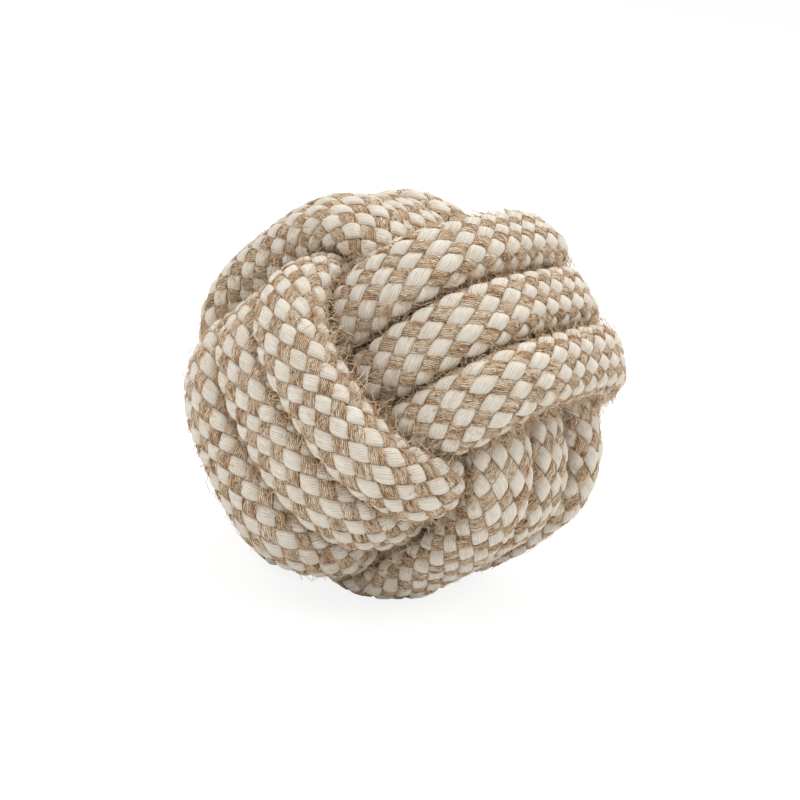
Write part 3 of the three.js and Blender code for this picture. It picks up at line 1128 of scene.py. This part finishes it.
class StrandTree(GeometryGraph):
    """Lays strands on a guide: closed ribbons that lean round the rope and weave over and under."""

    HIDDEN_FACING = -0.2
    HIDDEN_RADIUS = 30.0 * MM
    END_MARGIN = 0.0002
    DOME_POWER = 0.55
    UNDER_HEIGHT = 0.8
    DRIFT_RATE = 0.11 / MM
    LUMP_RATE = 0.6 / MM
    LUMP_SEED = 40.0

    def __init__(self) -> None:
        """Builds the tree."""
        super().__init__("Strands on a guide")
        self.sizes = self.named_sizes(
            Int="Strands, First Strand, Strands Round, Steps, Hidden Steps, Top Points, "
            "Under Points",
            Float="Way, Over, Start, Length, Lead, Girth, Lean, Skew, Width, Thickness, Depth, "
            "Rise, Pinch, Puff, Squareness, Ridge, Jitter, Lump, Seed",
            Vector="Centre",
            Material="Material",
        )
        lines = self._thinned(self._strands(self._run()))
        self.finish(self._laid(self._swept(lines)), self.sizes["Material"])

    def lay(
        self, name: str, guide: Guide, winding: int, family: StrandFamily, sizes: dict[str, Value]
    ) -> bpy.types.Object:
        """Lays strands of one kind on one winding's guide.

        Args:
            name: The piece's name.
            guide: The guide.
            winding: The winding's number.
            family: The kind.
            sizes: The tree's other inputs.

        Returns:
            The piece.
        """
        start, length = guide.span(winding)
        shared = {
            "Way": float(family.way.value),
            "Start": start,
            "Length": length,
            "Girth": guide.rope.guide_girth,
            "Centre": tuple(guide.centre),
        }
        form = by_label(family, NOT_TREE_SIZES)
        return self.run(name, guide.mesh(winding), {**form, **shared, **sizes})

    def _run(self) -> Term:
        """One straight strand's line, with its length and its steps kept on its points.

        Returns:
            The line.
        """
        run = self.straight(self.vector(self.sizes["Length"]), self.sizes["Steps"])
        x = self.term("ShaderNodeSeparateXYZ", "X", {0: self.position()})
        return self.store(self.store(run, "along", x), "step", self.index())

    def _strands(self, run: Term) -> Term:
        """Copies of the strand's line, each with its number.

        Args:
            run: The one line.

        Returns:
            All strands' lines.
        """
        one = self.term("GeometryNodeGeometryToInstance", 0, {0: run})
        sockets = {"Geometry": one, "Amount": self.sizes["Strands"]}
        copies = self.node("GeometryNodeDuplicateElements", sockets, domain="INSTANCE")
        number = Term(self, copies.outputs["Duplicate Index"]) + self.sizes["First Strand"]
        numbered = self.store(copies.outputs["Geometry"], "strand", number, "INSTANCE")
        return self.real(numbered)

    def _thinned(self, runs: Term) -> Term:
        """The lines with fewer steps inside the ball, where nothing shows.

        Args:
            runs: The strands' lines.

        Returns:
            The lines that are left.
        """
        sizes = self.sizes
        along, strand = self.attribute("along"), self.attribute("strand")
        length = along + sizes["Start"]
        turns = strand / sizes["Strands Round"] + sizes["Way"] * length / sizes["Lead"]
        place, outward = self._sampled(along / sizes["Length"], turns)
        from_centre = self.way_from(sizes["Centre"], place)
        far = self.length_of(from_centre)
        turned_in = (self.dot(outward, from_centre) / far).below(self.HIDDEN_FACING)
        hidden = turned_in.at_least(far.below(self.HIDDEN_RADIUS))
        between = (self.attribute("step") / sizes["Hidden Steps"]).fraction().above(0.1)
        left_out = {"Geometry": runs, "Selection": hidden * between}
        return self.term("GeometryNodeDeleteGeometry", 0, left_out, domain="POINT")

    def _swept(self, runs: Term) -> Term:
        """Each strand as a closed ribbon, with its place across and its height kept on its points.

        Args:
            runs: The strands' lines.

        Returns:
            The straight strands' mesh.
        """
        sizes = self.sizes
        top_points, under_points = sizes["Top Points"], sizes["Under Points"]
        index = self.index()
        top = index.below(top_points)
        above = index * 2.0 / (top_points - 1.0) - 1.0
        below = 1.0 - (index - top_points + 1.0) * 2.0 / (under_points + 1.0)
        across = top * above + (1.0 - top) * below
        dome = (1.0 - (abs(across) ** sizes["Squareness"]).at_most(1.0)) ** self.DOME_POWER
        valley = 1.0 - (index * 0.5).fraction() * 2.0
        height = top * (dome - valley * sizes["Ridge"]) - (1.0 - top) * dome * self.UNDER_HEIGHT
        ring = self.ring(top_points + under_points, 1.0 * MM)
        ring = self.store(self.store(ring, "across", across), "height", height)
        return self.swept(runs, ring)

    def _laid(self, strands: Term) -> Term:
        """Moves the strands' points to where they lie on the guide.

        Args:
            strands: The straight strands.

        Returns:
            The laid strands, with what their material reads.
        """
        sizes = self.sizes
        along, across, strand = (self.attribute(name) for name in ("along", "across", "strand"))
        length = along + sizes["Start"]
        waves = sizes["Strands Round"] * (2 * math.pi) / sizes["Lead"]
        crest = (length * waves).cosine() * sizes["Over"]
        drift = self.noise((length * self.DRIFT_RATE, strand * 7.7, sizes["Seed"]), 1.0) - 0.5
        spot = across * 2.1 + strand * 9.1
        lump = self.noise((length * self.LUMP_RATE, spot, sizes["Seed"] + self.LUMP_SEED)) - 0.5
        half = sizes["Width"] * 0.5 * (1.0 + sizes["Pinch"] * crest)
        sideways = (across + drift * sizes["Jitter"]) * half
        phase = length * waves + sizes["Way"] * sizes["Skew"] * sideways
        lift = phase.cosine() * sizes["Over"]
        rounded = lift * (1.5 - lift * lift * 0.5)
        place_along = (along - sizes["Way"] * sizes["Lean"].sine() * sideways) / sizes["Length"]
        turns = strand / sizes["Strands Round"] + sizes["Way"] * length / sizes["Lead"]
        around = turns + sizes["Lean"].cosine() * sideways / sizes["Girth"]
        height = self.attribute("height") * sizes["Thickness"] * 0.5 * (1.0 + sizes["Puff"] * lift)
        height = height + rounded * sizes["Rise"] - sizes["Depth"] + lump * sizes["Lump"]
        place, outward = self._sampled(place_along, around)
        run = along / sizes["Lean"].cosine()
        laid = self.store(self.store(strands, "lift", lift), "run", run)
        return self.moved(laid, self.sum(place, self.scaled(outward, height)))

    def _sampled(self, along: Term, around: Term) -> list[Term]:
        """Reads the guide at a spot on it.

        Args:
            along: The spot's share of the winding's length.
            around: Its turns round the rope.

        Returns:
            Its place and the direction outwards there.
        """
        inside = along.at_least(self.END_MARGIN).at_most(1.0 - self.END_MARGIN)
        sockets = {
            "Mesh": self.geometry(),
            "UV Map": self.attribute_vector("rope_map"),
            "Sample UV": self.vector(inside, around.fraction()),
        }
        node = "GeometryNodeSampleUVSurface"
        return [
            self.term(node, "Value", {**sockets, "Value": value}, data_type="FLOAT_VECTOR")
            for value in (self.position(), self.attribute_vector("outward"))
        ]


@dataclass
class BraidedCover:
    """The braided cover of one winding: its strands, in pieces of a few strands each."""

    name: str
    winding: int
    rope: Rope
    guide: Guide
    tree: StrandTree
    finishes: dict[str, bpy.types.Material]

    def build(self) -> dict[str, list[bpy.types.Object]]:
        """Makes the strands and sets them on the body.

        Returns:
            The pieces of each family, by its label.
        """
        return {
            family.label: [
                self._strands(family, first)
                for first in range(0, self.rope.strands_each_way, family.per_piece)
            ]
            for family in (COTTON, JUTE)
        }

    def _strands(self, family: StrandFamily, first: int) -> bpy.types.Object:
        """Makes a few strands as one piece.

        Args:
            family: Their kind.
            first: The first one's number.

        Returns:
            The piece.
        """
        rope = self.rope
        length = self.guide.span(self.winding)[1]
        pitch = rope.guide_girth / rope.strands_each_way * math.cos(rope.lean)
        steps = length * rope.strands_each_way / rope.lead * family.steps_per_wave
        strands = min(family.per_piece, rope.strands_each_way - first)
        sizes = {
            "Strands": strands,
            "First Strand": first,
            "Strands Round": rope.strands_each_way,
            "Lead": rope.lead,
            "Lean": rope.lean,
            "Skew": rope.skew,
            "Width": pitch * family.width_share,
            "Seed": float(self.winding * 2 + (family is JUTE)),
            "Steps": family.hidden_steps * round(steps / family.hidden_steps),
            "Material": self.finishes[family.label],
        }
        name = f"{self.name}_winding_{family.label}_strands_{first + 1}_to_{first + strands}"
        piece = self.tree.lay(name, self.guide, self.winding, family, sizes)
        return settle(piece, family.slot, f"{self.name}_winding_cover")


def settle(piece: bpy.types.Object, slot: str, *nodes: str) -> bpy.types.Object:
    """Puts a finished piece on the body, in place of its CAD nodes.

    Args:
        piece: The piece.
        slot: Not used.
        nodes: The CAD nodes that it stands for.

    Returns:
        The piece.
    """
    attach(piece, BODY)
    if nodes:
        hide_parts(*nodes)
    LOG.info("%s: %d faces", piece.name, len(piece.data.polygons))
    return piece


@dataclass
class Filler:
    """The cord inside one winding's cover: three twisted plies."""

    name: str
    winding: int
    guide: Guide
    tree: StrandTree
    finish: bpy.types.Material
    lead: float = 60.0 * MM
    step: float = 3.0 * MM
    seed: float = 9.0

    def build(self) -> bpy.types.Object:
        """Makes the plies.

        Returns:
            The piece.
        """
        plies = PLIES.per_piece
        sizes = {
            "Strands": plies,
            "First Strand": 0,
            "Strands Round": plies,
            "Lead": self.lead,
            "Lean": 0.0,
            "Skew": 0.0,
            "Width": self.guide.rope.guide_girth / plies * PLIES.width_share,
            "Seed": self.seed,
            "Steps": round(self.guide.span(self.winding)[1] / self.step),
            "Material": self.finish,
        }
        name = f"{self.name}_winding_filler"
        piece = self.tree.lay(f"{name}_{PLIES.label}", self.guide, self.winding, PLIES, sizes)
        return settle(piece, PLIES.slot, name)


class TwineTree(GeometryGraph):
    """Makes lines into twine: a tube along each line, with its length kept for its twist."""

    def __init__(self) -> None:
        """Builds the tree."""
        super().__init__("Twine along lines")
        sizes = self.named_sizes(Float="Radius", Int="Sides", Material="Material")
        line = self.term("GeometryNodeMeshToCurve", 0, {"Mesh": self.geometry()})
        line = self.store(line, "run", self.term("GeometryNodeSplineParameter", "Length"))
        ring = self.ring(sizes["Sides"], sizes["Radius"])
        ring = self.store(ring, "across", self.index() / sizes["Sides"])
        self.finish(self.swept(line, ring), sizes["Material"])

    def along(
        self, name: str, points: np.ndarray, radius: float, sides: int, material: bpy.types.Material
    ) -> bpy.types.Object:
        """Makes twine along a line.

        Args:
            name: The piece's name.
            points: The line's points.
            radius: The twine's radius.
            sides: How many sides its section has.
            material: Its material.

        Returns:
            The piece.
        """
        mesh = bpy.data.meshes.new(name)
        mesh.from_pydata(points.tolist(), [(n, n + 1) for n in range(len(points) - 1)], [])
        return self.run(name, mesh, {"Radius": radius, "Sides": sides, "Material": material})


@dataclass(frozen=True)
class EndWrap:
    """The twine wound round one of the rope's two cut ends."""

    node: str
    start: float
    way: float
    rope: Rope
    guide: Guide
    tree: TwineTree
    finish: bpy.types.Material
    twine_radius: float = 0.36 * MM
    twine_sides: int = 7
    pitch_share: float = 2.05

    def build(self) -> bpy.types.Object:
        """Winds the twine.

        Returns:
            The piece.
        """
        rope = self.rope
        begin = self.start + self.way * (rope.wrap_setback + self.twine_radius)
        end = begin + self.way * (rope.wrap_length - 2 * self.twine_radius)
        radius = rope.wrapped_radius + self.twine_radius
        points = self.guide.helix(begin, end, radius, self.pitch_share * self.twine_radius)
        name = f"{self.node}_twine"
        piece = self.tree.along(name, points, self.twine_radius, self.twine_sides, self.finish)
        return settle(piece, "jute_strand", self.node)


@dataclass(frozen=True)
class CoreBall:
    """The ball in the middle: yarn wound over a round heart, each round a little turned."""

    centre: Vector
    tree: TwineTree
    finish: bpy.types.Material
    radius: float = 13.0 * MM
    yarn_radius: float = 0.62 * MM
    rounds: int = 84
    steps_per_round: int = 36
    swing: float = 9.0
    yarn_sides: int = 6
    heart_depth_share: float = 2.6

    def build(self) -> list[bpy.types.Object]:
        """Winds the yarn and makes the heart.

        Returns:
            The two pieces.
        """
        line, radius = self._rounds_of_yarn(), self.yarn_radius
        yarn = self.tree.along("core_ball_yarn", line, radius, self.yarn_sides, self.finish)
        return [settle(piece, "core_yarn", "core_ball") for piece in (yarn, self._heart())]

    def _rounds_of_yarn(self) -> np.ndarray:
        """Winds great circles whose axis wanders over half the ball.

        Returns:
            The line's points.
        """
        step = np.arange(self.rounds * self.steps_per_round + 1)
        round_angle = 2 * math.pi * step / self.steps_per_round
        share = step / step[-1]
        lean = np.arccos(1 - share)
        turn = 2 * math.pi * self.swing * share
        first = [np.cos(lean) * np.cos(turn), np.cos(lean) * np.sin(turn), -np.sin(lean)]
        second = [-np.sin(turn), np.cos(turn), 0 * turn]
        rise = self.radius - self.yarn_radius * (2.2 - 1.2 * share)
        ring = np.array(first) * np.cos(round_angle) + np.array(second) * np.sin(round_angle)
        return np.array(self.centre) + (ring * rise).T

    def _heart(self) -> bpy.types.Object:
        """Makes the round heart under the yarn.

        Returns:
            The heart.
        """
        mesh = bpy.data.meshes.new("core_ball_heart")
        shape = bmesh.new()
        radius = self.radius - self.heart_depth_share * self.yarn_radius
        at_centre = Matrix.Translation(self.centre)
        bmesh.ops.create_icosphere(shape, subdivisions=4, radius=radius, matrix=at_centre)
        shape.to_mesh(mesh)
        shape.free()
        mesh.shade_smooth()
        mesh.materials.append(self.finish)
        return shown("core_ball_heart", mesh)


class FuzzTree(GeometryGraph):
    """Grows loose fibres on a surface's outward side: fine curled hairs that lie close to it."""

    LEAST_LIFT = 0.1
    EDGE = 0.95
    LEAST_FACING = 0.05
    LEAST_HEIGHT = 2.0 * MM
    OPEN_SIDE = 1.3
    SIDE_BEND = 1.1
    DOWN_BEND = -0.5
    CURL = 0.45
    CURL_WAVES = 7.0
    SIDES = 3

    def __init__(self) -> None:
        """Builds the tree."""
        super().__init__("Loose fibres")
        self.sizes = self.named_sizes(
            Float="Density, Outside, In Grooves, Shortest, Longest, Least Rise, Most Rise, Reach, "
            "Rope Radius, Radius",
            Int="Seed, Steps",
            Vector="Centre",
            Material="Material",
        )
        self.finish(self._hairs(self._roots()), self.sizes["Material"])

    def _spread(self) -> bpy.types.Node:
        """The node that spreads points over the ball's outward side.

        Returns:
            The node.
        """
        sizes = self.sizes
        place = self.position()
        height = self.term("ShaderNodeSeparateXYZ", "Z", {0: place})
        edge = abs(self.attribute("across"))
        on_top = self.attribute("lift").above(self.LEAST_LIFT) * edge.below(self.EDGE)
        from_centre = self.way_from(sizes["Centre"], place)
        far = self.length_of(from_centre)
        normal = self.term("GeometryNodeInputNormal", 0)
        facing = (self.dot(normal, from_centre) / far).at_least(0.0)
        outward = facing.above(self.LEAST_FACING) * far.above(sizes["Outside"])
        sockets = {
            "Mesh": self.geometry(),
            "Selection": outward * on_top * height.above(self.LEAST_HEIGHT),
            "Density": sizes["Density"] * (1.0 - sizes["In Grooves"] * facing) ** 2.0,
            "Seed": sizes["Seed"],
        }
        return self.node("GeometryNodeDistributePointsOnFaces", sockets, distribute_method="RANDOM")

    def _roots(self) -> Term:
        """Points on the outward side, each with its hair's length, bend and direction.

        Returns:
            The points.
        """
        sizes = self.sizes
        spread = self._spread()
        up = spread.outputs["Normal"]
        share = self.chance(0.0, 1.0, 3) ** 2.0
        length = sizes["Shortest"] + (sizes["Longest"] - sizes["Shortest"]) * share
        anywhere = self.chance((-1.0, -1.0, -1.0), (1.0, 1.0, 1.0), 5)
        flat = self.direction(self.cross(up, anywhere))
        root = self.way_from(sizes["Centre"], self.position())
        from_wall = self.dot(up, self.direction(root))
        open_side = self.OPEN_SIDE - from_wall
        rise = self.scaled(up, self.chance(sizes["Least Rise"], sizes["Most Rise"], 4) * open_side)
        stray = self.chance(0.0, 1.0, 8) ** 4.0
        farthest = self.length_of(root) + sizes["Reach"] * (open_side + stray)
        across = self.cross(up, flat)
        beside = self.scaled(across, self.chance(-self.SIDE_BEND, self.SIDE_BEND, 7))
        down = self.scaled(up, length / sizes["Rope Radius"] * from_wall * self.DOWN_BEND)
        points = self.store(spread.outputs["Points"], "length", length)
        points = self.store(points, "farthest", farthest)
        points = self.store(points, "strand", self.chance(0.0, 1.0, 6))
        points = self.store(points, "heading", self.sum(flat, rise), kind="FLOAT_VECTOR")
        return self.store(points, "bend", self.sum(beside, down), kind="FLOAT_VECTOR")

    def _hairs(self, roots: Term) -> Term:
        """A curled tube at each root, closed at its ends and kept above the floor.

        Args:
            roots: The points.

        Returns:
            The hairs' mesh.
        """
        sizes = self.sizes
        heading, bend = self.attribute_vector("heading"), self.attribute_vector("bend")
        length = self.attribute("length")
        turn = self.term("FunctionNodeAlignRotationToVector", 0, {"Vector": heading}, axis="Z")
        sockets = {
            "Points": roots,
            "Instance": self.straight((0, 0, 1), sizes["Steps"]),
            "Rotation": turn,
            "Scale": self.vector(length, length, length),
        }
        hairs = self.real(self.term("GeometryNodeInstanceOnPoints", 0, sockets))
        along = self.term("GeometryNodeSplineParameter", "Factor")
        wave = (along * self.CURL_WAVES).sine() * self.CURL
        curl = self.scaled(self.cross(bend, heading), wave)
        bent = self.sum(self.scaled(bend, along), curl)
        place = self.sum(self.position(), self.scaled(bent, along * length))
        from_centre = self.way_from(sizes["Centre"], place)
        drawn_in = (self.attribute("farthest") / self.length_of(from_centre)).at_most(1.0)
        place = self.sum(sizes["Centre"], self.scaled(from_centre, drawn_in))
        place = self.vector_math("MAXIMUM", place, self.vector(-1.0, -1.0, sizes["Radius"]))
        hairs = self.store(self.moved(hairs, place), "run", along)
        return self.swept(hairs, self.ring(self.SIDES, sizes["Radius"]))


@dataclass(frozen=True)
class Hairs:
    """One kind of loose fibre: how many to a square metre, and their sizes."""

    label: str
    density: float
    in_grooves: float
    shortest: float
    longest: float
    most_rise: float
    radius: float
    steps: int
    least_rise: float = 0.1
    reach: float = 0.3 * MM


FUZZ = Hairs(
    label="fuzz",
    density=1800000.0,
    in_grooves=0.25,
    shortest=0.9 * MM,
    longest=3.0 * MM,
    most_rise=0.9,
    radius=0.05 * MM,
    steps=2,
)
LONG_FIBRES = Hairs(
    label="long_fibres",
    density=3500000.0,
    in_grooves=1.0,
    shortest=2.0 * MM,
    longest=6.0 * MM,
    most_rise=1.2,
    radius=0.065 * MM,
    steps=4,
)


@dataclass(frozen=True)
class LooseFibres:
    """The jute's loose fibres on one winding, where the ball's outside shows them."""

    name: str
    number: int
    jute: list
    centre: Vector
    rope_radius: float
    tree: FuzzTree
    finish: bpy.types.Material
    outside: float = 31.0 * MM
    first_seed: int = 11
    seed_step: int = 10

    def build(self) -> list[bpy.types.Object]:
        """Grows the fibres, one piece of each kind."""
        return [self._grown(hairs, seed) for seed, hairs in enumerate((FUZZ, LONG_FIBRES))]

    def _grown(self, hairs: Hairs, seed: int) -> bpy.types.Object:
        """Grows one kind of fibre.

        Args:
            hairs: The kind.
            seed: Its number.

        Returns:
            The piece.
        """
        ground = bpy.data.meshes.new("ground")
        shape = bmesh.new()
        for piece in self.jute:
            shape.from_mesh(piece.data)
        shape.to_mesh(ground)
        shape.free()
        sizes = {
            **by_label(hairs, ("label",)),
            "Seed": self.first_seed + self.number + self.seed_step * seed,
            "Centre": tuple(self.centre),
            "Outside": self.outside,
            "Rope Radius": self.rope_radius,
            "Material": self.finish,
        }
        return settle(self.tree.run(f"{self.name}_winding_{hairs.label}", ground, sizes), JUTE.slot)


@dataclass(frozen=True)
class Lamp:
    """A soft square lamp that points at the ball."""

    name: str
    place: tuple
    power: float
    size: float = 0.9

    def hang(self, centre: Vector) -> None:
        """Hangs the lamp at its place.

        Args:
            centre: The middle of the ball.
        """
        data = bpy.data.lights.new(self.name, "AREA")
        data.size = self.size
        data.energy = self.power
        lamp = shown(self.name, data)
        lamp.location = centre + Vector(self.place)
        lamp.rotation_euler = (-Vector(self.place)).to_track_quat("-Z", "Y").to_euler()


LAMPS = (
    Lamp("key_lamp", (-0.75, -0.65, 1.1), 8.2),
    Lamp("fill_lamp", (1.3, 0.1, 1.2), 9.9),
    Lamp("top_lamp", (0.25, 0.6, 1.5), 12.0),
)


@dataclass(frozen=True)
class Studio:
    """A pale floor, soft lamps and the camera at the photograph's viewing angle."""

    distance: float = 372.6 * MM
    focal_pixels: float = 1728.0
    image_pixels: float = 800.0
    sensor: float = 36.0
    middle_pixel: tuple = (403.3, 396.4)
    right: tuple = (0.9867, 0.0774, 0.1429)
    up: tuple = (-0.1589, 0.2767, 0.9477)
    floor_size: float = 8.0
    floor_grey: float = 0.93
    floor_glow: float = 1.1
    floor_glow_share: float = 0.78
    sky: float = 0.6

    def build(self, centre: Vector) -> None:
        """Makes the floor, the lamps, the world and the camera.

        Args:
            centre: The middle of the ball.
        """
        self._camera(centre)
        self._floor()
        self._world()
        for lamp in LAMPS:
            lamp.hang(centre)

    def _camera(self, centre: Vector) -> None:
        """Places the camera.

        Args:
            centre: The middle of the ball.
        """
        right, up = Vector(self.right).normalized(), Vector(self.up)
        back = right.cross(up).normalized()
        up = back.cross(right)
        data = bpy.data.cameras.new("camera")
        data.sensor_width = self.sensor
        data.lens = self.focal_pixels / self.image_pixels * self.sensor
        half = self.image_pixels / 2
        data.shift_x = -(self.middle_pixel[0] - half) / self.image_pixels
        data.shift_y = (self.middle_pixel[1] - half) / self.image_pixels
        data.clip_start = 0.01
        camera = shown("camera", data)
        turn = Matrix((right, up, back)).transposed().to_4x4()
        camera.matrix_world = Matrix.Translation(centre + back * self.distance) @ turn
        bpy.context.scene.camera = camera

    def _floor(self) -> None:
        """Lays the floor."""
        half = self.floor_size / 2
        mesh = bpy.data.meshes.new("floor")
        corners = [(-half, -half, 0), (half, -half, 0), (half, half, 0), (-half, half, 0)]
        mesh.from_pydata(corners, [], [(0, 1, 2, 3)])
        graph = ShaderGraph("floor")
        shader = graph.shader
        shader.inputs["Base Color"].default_value = (*[self.floor_grey] * 3, 1)
        shader.inputs["Roughness"].default_value = 0.9
        shader.inputs["Specular IOR Level"].default_value = 0.0
        seen = graph.term("ShaderNodeLightPath", "Is Camera Ray") * self.floor_glow_share
        glow = {"Color": (1, 1, 1, 1), "Strength": self.floor_glow}
        white = graph.term("ShaderNodeEmission", 0, glow)
        mixed = graph.term("ShaderNodeMixShader", 0, {0: seen, 1: shader.outputs[0], 2: white})
        graph.plug(graph.tree.nodes["Material Output"].inputs["Surface"], mixed)
        mesh.materials.append(graph.material)
        shown("floor", mesh)

    def _world(self) -> None:
        """Lights the scene softly from all round, and shows as white."""
        world = bpy.data.worlds.new("studio")
        bpy.context.scene.world = world
        world.use_nodes = True
        background = world.node_tree.nodes["Background"]
        background.inputs["Color"].default_value = (1, 1, 1, 1)
        graph = Graph(world.node_tree)
        seen = graph.term("ShaderNodeLightPath", "Is Camera Ray")
        graph.plug(background.inputs["Strength"], seen * (1.0 - self.sky) + self.sky)


def main() -> None:
    """Builds the toy round its frame, with the studio about it."""
    logging.basicConfig(level=logging.INFO, format="%(message)s")
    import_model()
    low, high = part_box("core_ball")
    centre = (low + high) / 2
    bpy.context.scene.view_settings.view_transform = "Standard"
    Studio().build(centre)
    rope = Rope()
    guide = Guide(rope, Knot(), np.array(centre))
    tree = StrandTree()
    finishes = {"cotton": CottonFinish().material(), "jute": JuteFinish().material()}
    filler_yarn = YarnFinish("filler_yarn", srgb(226, 216, 196), srgb(190, 172, 142)).material()
    fuzz = FuzzTree()
    fibre = FibreFinish().material()
    for number, winding in enumerate(WINDINGS):
        strands = BraidedCover(winding.name, number, rope, guide, tree, finishes).build()
        jute = strands[JUTE.label]
        LooseFibres(winding.name, number, jute, centre, rope.diameter / 2, fuzz, fibre).build()
        Filler(winding.name, number, guide, tree, filler_yarn).build()
    twine_tree = TwineTree()
    twine = YarnFinish("jute_twine", srgb(198, 168, 130), srgb(128, 96, 64), 1.6 * MM).material()
    EndWrap("start_end_wrap", guide.lengths[0], 1.0, rope, guide, twine_tree, twine).build()
    EndWrap("finish_end_wrap", guide.lengths[-1], -1.0, rope, guide, twine_tree, twine).build()
    core_yarn = YarnFinish("core_yarn", srgb(214, 202, 176), srgb(166, 148, 116), 3.0 * MM)
    CoreBall(centre, twine_tree, core_yarn.material()).build()


if __name__ == "__main__":
    main()
